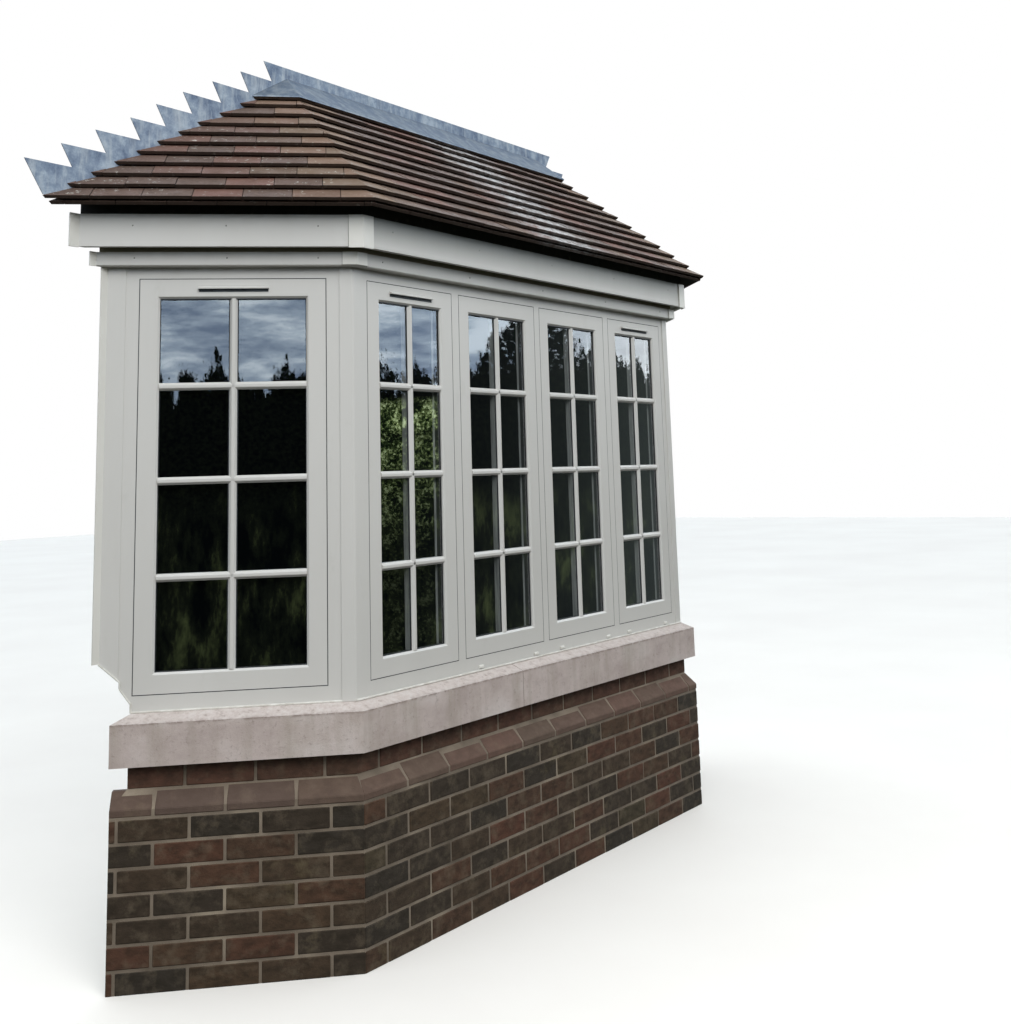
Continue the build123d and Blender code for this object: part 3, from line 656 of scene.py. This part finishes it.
# Roof timbers
# Sawn softwood: a head beam over the frames, rafters and hip rafters on it, a ledger bolted to the house
# wall, and joists that carry the ceiling of the bay.
timber, tree, shader = new_material("timber")
grain = noise(tree, 30, 6, (1, 1, 0.2), 0.6)
sawn_tones = [(0.3, colour(176, 138, 92)), (0.55, colour(204, 170, 122)), (0.75, colour(186, 148, 100))]
tree.links.new(ramp(tree, grain, sawn_tones), shader.inputs["Base Color"])
shader.inputs["Roughness"].default_value = 0.8
tree.links.new(bump(tree, grain, 0.001, 0.5), shader.inputs["Normal"])
dress(["head_beam", "rafters", "wall_rafters", "hip_rafters", "roof_ledger", "ceiling_joists"], timber)

plaster, tree, shader = new_material("plaster")
body = ramp(tree, noise(tree, 4, 5), [(0.3, colour(226, 224, 218)), (0.7, colour(236, 235, 230))])
tree.links.new(body, shader.inputs["Base Color"])
shader.inputs["Roughness"].default_value = 0.85
tree.links.new(bump(tree, noise(tree, 120, 3), 0.0006, 0.4), shader.inputs["Normal"])
dress(["ceiling_board"], plaster)

paint, tree, shader = new_material("board_paint")
body = ramp(tree, noise(tree, 5, 5), [(0.3, colour(228, 228, 224)), (0.7, colour(238, 238, 235))])
tree.links.new(body, shader.inputs["Base Color"])
tree.links.new(ramp(tree, noise(tree, 40, 4), [(0.3, (0.3,)), (0.7, (0.45,))]), shader.inputs["Roughness"])
tree.links.new(bump(tree, noise(tree, 90, 3, (0.1, 1, 1)), 0.0004, 0.4), shader.inputs["Normal"])
dress(["window_board"], paint)

# Roof tiling
# Plain clay tiles in twelve lapped courses, hung on battens, mitred along the hips and doubled at the
# eaves. They have weathered to a pinkish grey, with lichen on the noses and a pale streak down the front
# slope. Their noses are also darkened almost to black, partly dirt and partly painted shade under each course.
clay, tree, shader = new_material("clay_tile")
kiln = attribute(tree, "tone")
clouds = noise(tree, 16, 6)
grit = noise(tree, 240, 3)
body = ramp(
    tree,
    kiln,
    [
        (0.0, colour(76, 60, 52)),
        (0.3, colour(83, 65, 57)),
        (0.55, colour(91, 67, 58)),
        (0.8, colour(99, 67, 57)),
        (1.0, colour(88, 70, 56)),
    ],
)
body = blend(tree, ramp(tree, clouds, [(0.35, (0.0,)), (0.75, (0.5,))]), body, colour(66, 55, 48))
crust = ramp(tree, noise(tree, 95, 7, rough=0.75), [(0.45, (0.0,)), (0.62, (0.4,))])
body = blend(tree, crust, body, colour(112, 93, 80))
near_hip = ramp(tree, attribute(tree, "edge"), [(0.3, (0.0,)), (1.0, (0.5,))])
body = blend(tree, near_hip, body, colour(120, 101, 82))
streak_middle = 0.03
across = maths(tree, "ABSOLUTE", maths(tree, "SUBTRACT", own_place(tree)["X"], streak_middle))
streak = ramp(tree, across, [(0.04, (1.0,)), (0.34, (0.0,))])
patchy = ramp(tree, noise(tree, 55, 8, (1, 0.6, 0.6), 0.7), [(0.42, (0.0,)), (0.58, (1.0,))])
stain = maths(tree, "MULTIPLY", streak, patchy)
body = blend(tree, ramp(tree, stain, [(0.05, (0.0,)), (0.8, (0.75,))]), body, colour(200, 202, 202))
spots = ramp(tree, noise(tree, 48, 6, rough=0.7), [(0.60, (0.0,)), (0.66, (0.75,))])
drifts = ramp(tree, noise(tree, 3.2, 4), [(0.42, (0.1,)), (0.56, (1.0,))])
spots = maths(tree, "MULTIPLY", spots, drifts)
body = blend(tree, spots, body, colour(190, 188, 178))
# Painted shade and dirt: faces that do not look up, chiefly the tile noses, are darkened almost to black.
nose_dirt_and_shade = ramp(tree, own_facing(tree)["Z"], [(0.15, (0.85,)), (0.45, (0.0,))])
body = blend(tree, nose_dirt_and_shade, body, colour(50, 40, 34))
tree.links.new(body, shader.inputs["Base Color"])
tree.links.new(ramp(tree, clouds, [(0.3, (0.7,)), (0.7, (0.95,))]), shader.inputs["Roughness"])
shader.inputs["Specular IOR Level"].default_value = 0.3
tree.links.new(bump(tree, clouds, 0.003, 0.4, bump(tree, grit, 0.001, 0.7)), shader.inputs["Normal"])

pitch = math.radians(40.75)
gauge = 0.0849
tile_width = 0.165
tile_thick = 0.012
tile_gap = 0.0025
nose_height = 0.040
tile_fall = 0.018
tile_lap = 0.045
mitre_gap = 0.001
tile_unevenness = 0.0015
lift_range = 0.0012
roll_range = 0.006
most_lift = 0.0005
hip_wear_start = 0.07
hip_wear_width = 0.16
slope_end = 2.9
tiles_back = wall_y - 0.0033
side_run = (tiles_back - front_y) / math.sin(splay)
tiles_out = 0.188
eaves_reach = tiles_out - nose_height * math.sin(pitch)
eaves_level = 2.488
course_count = 12
top_shifts = {8: 0.010, 9: 0.020}
joint_starts = (0.044, 0.102, 0.028, 0.155, 0.091, 0.014, 0.100, 0.030, 0.121, 0.040, 0.110, 0.035)


def on_slope(face, along, up, above):
    """Point on a roof slope: along the eaves from the corner, up the slope, above the bed of the tiles.

    It keeps behind the line of the eaves and, on the side slopes, off the house wall.
    """
    out = min(eaves_reach - up * math.cos(pitch) + above * math.sin(pitch), tiles_out)
    if face != "front":
        along = min(along, side_run + out)
    return on_face(face, along, eaves_level + up * math.sin(pitch) + above * math.cos(pitch), out)


def clip(points, inside, crossing):
    """The part of a flat outline that lies on one side of a line."""
    kept = []
    for i, point in enumerate(points):
        before = points[i - 1]
        if inside(point) != inside(before):
            kept.append(crossing(before, point))
        if inside(point):
            kept.append(point)
    return kept


def half_plane(points, a, b, c):
    """Keeps the part of an outline where a * x + b * y <= c."""

    def crossing(p, q):
        fp = a * p[0] + b * p[1] - c
        fq = a * q[0] + b * q[1] - c
        t = fp / (fp - fq)
        return (p[0] + (q[0] - p[0]) * t, p[1] + (q[1] - p[1]) * t)

    return clip(points, lambda p: a * p[0] + b * p[1] <= c + 1e-9, crossing)


def tile_outline(face, u0, u1, v0, v1, above):
    """Outline of a tile on its slope, cut on the hips and at the house wall."""
    points = [(u0, v0), (u1, v0), (u1, v1), (u0, v1)]
    lean = math.tan(splay / 2)
    base = (eaves_reach + above * math.sin(pitch)) * lean
    step = math.cos(pitch) * lean
    points = half_plane(points, -1, step, base - mitre_gap)
    if face == "front":
        points = half_plane(points, 1, step, 2 * corner_x + base - mitre_gap)
        return half_plane(points, 0, 1, (tiles_back - front_y + eaves_reach) / math.cos(pitch))
    return half_plane(points, 1, math.cos(pitch), side_run + eaves_reach + above * math.sin(pitch))


eaves_nose = 0.002
eaves_head = 0.12
draws = random.Random(5)
tiles = {"front": [], "left": [], "right": []}
for face in tiles:
    for course in range(course_count):
        start = joint_starts[course] - 3 * tile_width
        while start < slope_end:
            wide = tile_width + draws.uniform(-tile_unevenness, tile_unevenness)
            nose = course * gauge + top_shifts.get(course, 0.0)
            nose += draws.uniform(-tile_unevenness, tile_unevenness)
            head = (course + 1) * gauge + tile_lap
            outline = tile_outline(face, start, start + wide - tile_gap, nose, head, nose_height)
            start += wide
            if len(outline) < 3:
                continue
            lift = draws.uniform(-lift_range, lift_range)
            roll = draws.uniform(-roll_range, roll_range)
            middle = sum(p[0] for p in outline) / len(outline)
            top = []
            bottom = []
            reach = min(u + v * math.cos(pitch) * -math.tan(splay / 2) for u, v in outline)
            if face == "front":
                farthest = max(u + v * math.cos(pitch) * math.tan(splay / 2) for u, v in outline)
                reach = min(reach, 2 * corner_x - farthest)
            hip = max(0.0, 1.0 - max(0.0, reach + hip_wear_start) / hip_wear_width)
            for u, v in outline:
                height = nose_height - tile_fall * (v - course * gauge) / gauge + lift + roll * (u - middle)
                height = min(height, nose_height + most_lift)
                top.append(on_slope(face, u, v, height))
                bottom.append(on_slope(face, u, v, height - tile_thick))
            tiles[face].append((bottom, top, draws.random(), hip))
    start = joint_starts[0] - 3.5 * tile_width
    while start < slope_end:
        end = start + tile_width - tile_gap
        outline = tile_outline(face, start, end, eaves_nose, eaves_head, nose_height)
        start += tile_width
        if len(outline) < 3:
            continue
        top = [on_slope(face, u, v, 0.0170 - 0.1 * v) for u, v in outline]
        bottom = [on_slope(face, u, v, 0.0045 - 0.03 * v) for u, v in outline]
        # The eaves course takes only the darkest tones, painted shade for its place tucked under the first
        # course.
        tiles[face].append((bottom, top, 0.1 * draws.random(), 0.0))
for face, blocks in tiles.items():
    make_piece(f"tiles_{face}", blocks, clay, replaced=[f"roof_tiles_{face}"], bevel=0.0015)

felt, tree, shader = new_material("underlay")
weave = noise(tree, 150, 4)
body = ramp(tree, weave, [(0.3, colour(26, 25, 25)), (0.7, colour(44, 42, 41))])
tree.links.new(body, shader.inputs["Base Color"])
shader.inputs["Roughness"].default_value = 0.9
tree.links.new(bump(tree, weave, 0.0008, 0.6), shader.inputs["Normal"])
felt_sides = (-0.6, 3.2)
felt_foot = 0.012
felt_head = 1.1
felt_under = 0.0003
felt_top = 0.0018
sheets = []
for face in tiles:
    outline = tile_outline(face, *felt_sides, felt_foot, felt_head, 0.0)
    bottom = [on_slope(face, u, v, felt_under) for u, v in outline]
    top = [on_slope(face, u, v, felt_top) for u, v in outline]
    sheets.append((bottom, top, 0.5, 0.0))
make_piece("roof_underlay", sheets, felt)

# Lead work
# Milled lead sheet: a cover flashing dressed over the top course and turned up the wall, and flashings
# stepped to the brick courses down each side. It has a mottled, streaky patina.
lead, tree, shader = new_material("lead")
mottle = noise(tree, 14, 7, (1, 1, 1), 0.7)
streaks = noise(tree, 26, 5, (1, 1, 0.18), 0.65)
patina = [(0.34, colour(86, 101, 124)), (0.5, colour(124, 139, 158)), (0.64, colour(160, 174, 188))]
body = ramp(tree, mottle, patina)
body = blend(tree, ramp(tree, streaks, [(0.48, (0.0,)), (0.68, (0.65,))]), body, colour(184, 193, 199))
# Painted shade: faces of the lead that look up are darkened to 38 % of their colour.
upward_painted_shade = ramp(tree, own_facing(tree)["Z"], [(0.3, (0.0,)), (0.6, (1.0,))])
body = blend(tree, upward_painted_shade, body, (0.38, 0.38, 0.38, 1), "MULTIPLY")
tree.links.new(body, shader.inputs["Base Color"])
tree.links.new(ramp(tree, mottle, [(0.3, (0.6,)), (0.7, (0.85,))]), shader.inputs["Roughness"])
shader.inputs["Specular IOR Level"].default_value = 0.25
tree.links.new(bump(tree, mottle, 0.004, 0.35), shader.inputs["Normal"])
dress(["lead_cover_flashing", "lead_step_flashing"], lead)

# Floor, light and camera
# A pale floor under even, soft light, and the camera where the photograph was taken from. Mirrored rays,
# which show most in the panes, meet a made-up sky, line of trees, hedge and lawn laid out by direction.
ground, tree, shader = new_material("floor")
body = ramp(tree, noise(tree, 0.6, 4), [(0.3, colour(237, 233, 227)), (0.7, colour(243, 240, 234))])
tree.links.new(body, shader.inputs["Base Color"])
shader.inputs["Roughness"].default_value = 0.8
bpy.ops.mesh.primitive_plane_add(size=60, location=(0, 0, 0))
floor = bpy.context.object
floor.name = "floor"
floor.data.materials.append(ground)
floor.visible_diffuse = False
floor.visible_glossy = False

world = bpy.data.worlds.new("studio")
bpy.context.scene.world = world
world.use_nodes = True
tree = world.node_tree
tree.nodes.clear()
path = add_node(tree, "ShaderNodeLightPath")
white = add_node(tree, "ShaderNodeBackground", {"Color": (1, 1, 1, 1), "Strength": 1.0})
look = add_node(tree, "ShaderNodeTexCoord").outputs["Generated"]
way = axes(tree, look)
height = way["Z"]
rising = maths(tree, "MULTIPLY_ADD", height, 0.5, 0.5)
dome = ramp(
    tree,
    rising,
    [
        (0.42, (0.05, 0.05, 0.045, 1)),
        (0.49, (0.15, 0.16, 0.13, 1)),
        (0.52, (0.34, 0.36, 0.34, 1)),
        (0.62, (0.72, 0.76, 0.79, 1)),
        (0.9, (1.0, 1.04, 1.08, 1)),
    ],
)
even = add_node(tree, "ShaderNodeBackground", {"Color": dome, "Strength": 0.95})
leaves = noise_over(tree, look, 330.0, 5.0, 0.7)
foliage = noise_over(tree, look, 420.0, 4.0, 0.7)
clumps = noise_over(tree, look, 110.0, 3.0, 0.5)
foliage = maths(tree, "MULTIPLY_ADD", clumps, 0.55, foliage)
foliage = maths(tree, "SUBTRACT", foliage, 0.285)
tall = stretched(tree, look, (1, 1, 0.25))
crowns = noise_over(tree, tall, 48.0, 8.0, 0.68)
tops = maths(tree, "MULTIPLY_ADD", crowns, 0.13, -0.03)
tops = maths(tree, "MULTIPLY_ADD", leaves, 0.03, tops)
line = ramp(
    tree,
    way["X"],
    [
        (0.70, (0.033,)),
        (0.735, (0.030,)),
        (0.745, (0.024,)),
        (0.765, (0.036,)),
        (0.785, (0.030,)),
        (0.80, (0.064,)),
        (0.832, (0.064,)),
        (0.838, (0.024,)),
        (0.852, (0.052,)),
        (0.862, (0.034,)),
    ],
)
tops = maths(tree, "ADD", line, tops)
above = maths(tree, "SUBTRACT", height, tops)
open_sky = ramp(tree, above, [(0.0, (0.0,)), (0.004, (1.0,))])
holes = noise_over(tree, look, 210.0, 4.0, 0.75)
holes = ramp(tree, holes, [(0.57, (0.0,)), (0.64, (0.9,))])
branches = ramp(tree, height, [(0.078, (0.0,)), (0.095, (1.0,))])
holes = maths(tree, "MULTIPLY", holes, branches)
open_sky = maths(tree, "MAXIMUM", open_sky, holes)
drift = stretched(tree, look, (1, 1, 3.5))
cloud = noise_over(tree, drift, 16.0, 8.0, 0.58)
sky = ramp(
    tree,
    cloud,
    [
        (0.37, (0.40, 0.53, 0.74, 1)),
        (0.5, (0.80, 0.99, 1.19, 1)),
        (0.61, (1.45, 1.65, 1.80, 1)),
    ],
)
glare = ramp(tree, way["X"], [(0.80, (0.0,)), (0.87, (0.8,))])
sky = blend(tree, glare, sky, (1.6, 1.66, 1.66, 1))
dark = ramp(tree, leaves, [(0.4, (0.001, 0.0015, 0.002, 1)), (0.65, (0.010, 0.013, 0.008, 1))])
lawn = ramp(tree, rising, [(0.48, (1.0,)), (0.497, (0.0,))])
stems = stretched(tree, look, (1, 1, 0.35))
stems = noise_over(tree, stems, 52.0, 7.0, 0.72)
border = ramp(
    tree,
    stems,
    [
        (0.42, (0.002, 0.003, 0.003, 1)),
        (0.54, (0.014, 0.018, 0.010, 1)),
        (0.68, (0.095, 0.120, 0.048, 1)),
    ],
)
dark = blend(tree, lawn, dark, border)
haze = ramp(
    tree,
    way["X"],
    [
        (0.74, (0, 0, 0, 1)),
        (0.80, (0.010, 0.012, 0.012, 1)),
        (0.84, (0.030, 0.036, 0.034, 1)),
        (0.87, (0.065, 0.078, 0.074, 1)),
    ],
)
dark = blend(tree, 1.0, dark, haze, "ADD")
hedge = ramp(
    tree,
    foliage,
    [
        (0.40, (0.010, 0.018, 0.007, 1)),
        (0.5, (0.09, 0.14, 0.045, 1)),
        (0.58, (0.46, 0.60, 0.22, 1)),
        (0.66, (1.2, 1.45, 0.8, 1)),
    ],
)
beside = ramp(tree, way["X"], [(0.70, (0.0,)), (0.725, (1.0,)), (0.776, (1.0,)), (0.784, (0.0,))])
low_down = ramp(
    tree,
    rising,
    [
        (0.47, (0.05,)),
        (0.495, (0.3,)),
        (0.5125, (0.6,)),
        (0.515, (0.1,)),
        (0.5175, (1.0,)),
        (0.526, (0.9,)),
        (0.531, (0.0,)),
    ],
)
hedge_part = maths(tree, "MULTIPLY", beside, low_down)
garden = blend(tree, hedge_part, dark, hedge)
seen = add_node(tree, "ShaderNodeBackground", {"Color": blend(tree, open_sky, garden, sky), "Strength": 2.6})
first = add_node(
    tree,
    "ShaderNodeMixShader",
    {0: path.outputs["Is Glossy Ray"], 1: even.outputs["Background"], 2: seen.outputs["Background"]},
)
second = add_node(
    tree,
    "ShaderNodeMixShader",
    {0: path.outputs["Is Camera Ray"], 1: first.outputs[0], 2: white.outputs["Background"]},
)
add_node(tree, "ShaderNodeOutputWorld", {"Surface": second.outputs[0]})

lamp_data = bpy.data.lights.new("soft_light", "AREA")
lamp_data.shape = "RECTANGLE"
lamp_data.size = 6
lamp_data.size_y = 6
lamp_data.energy = 680
lamp = bpy.data.objects.new("soft_light", lamp_data)
bpy.context.scene.collection.objects.link(lamp)
lamp.location = (-5.0, -6.5, 7.5)
lamp.visible_glossy = False
lamp.rotation_euler = (Vector((0, 0, 1.5)) - lamp.location).to_track_quat("-Z", "Y").to_euler()

photo_size = 1024
focal_px = 1217.37
centre_v = 279.1
sensor_mm = 36
eye = Vector((-4.2490, -3.1444, 1.5782))
right = Vector((0.592973, -0.804738, -0.027931))
down = Vector((0.109086, 0.114651, -0.987398))
forward = Vector((0.797799, 0.582453, 0.15577))
camera_data = bpy.data.cameras.new("camera")
camera_data.sensor_width = sensor_mm
camera_data.lens = focal_px * sensor_mm / photo_size
camera_data.shift_y = (centre_v - photo_size / 2) / photo_size
camera_data.clip_end = 200
camera = bpy.data.objects.new("camera", camera_data)
bpy.context.scene.collection.objects.link(camera)
turn = Matrix((right, -down, -forward)).transposed().to_4x4()
camera.matrix_world = Matrix.Translation(eye) @ turn
bpy.context.scene.camera = camera
bpy.context.scene.view_settings.view_transform = "Standard"
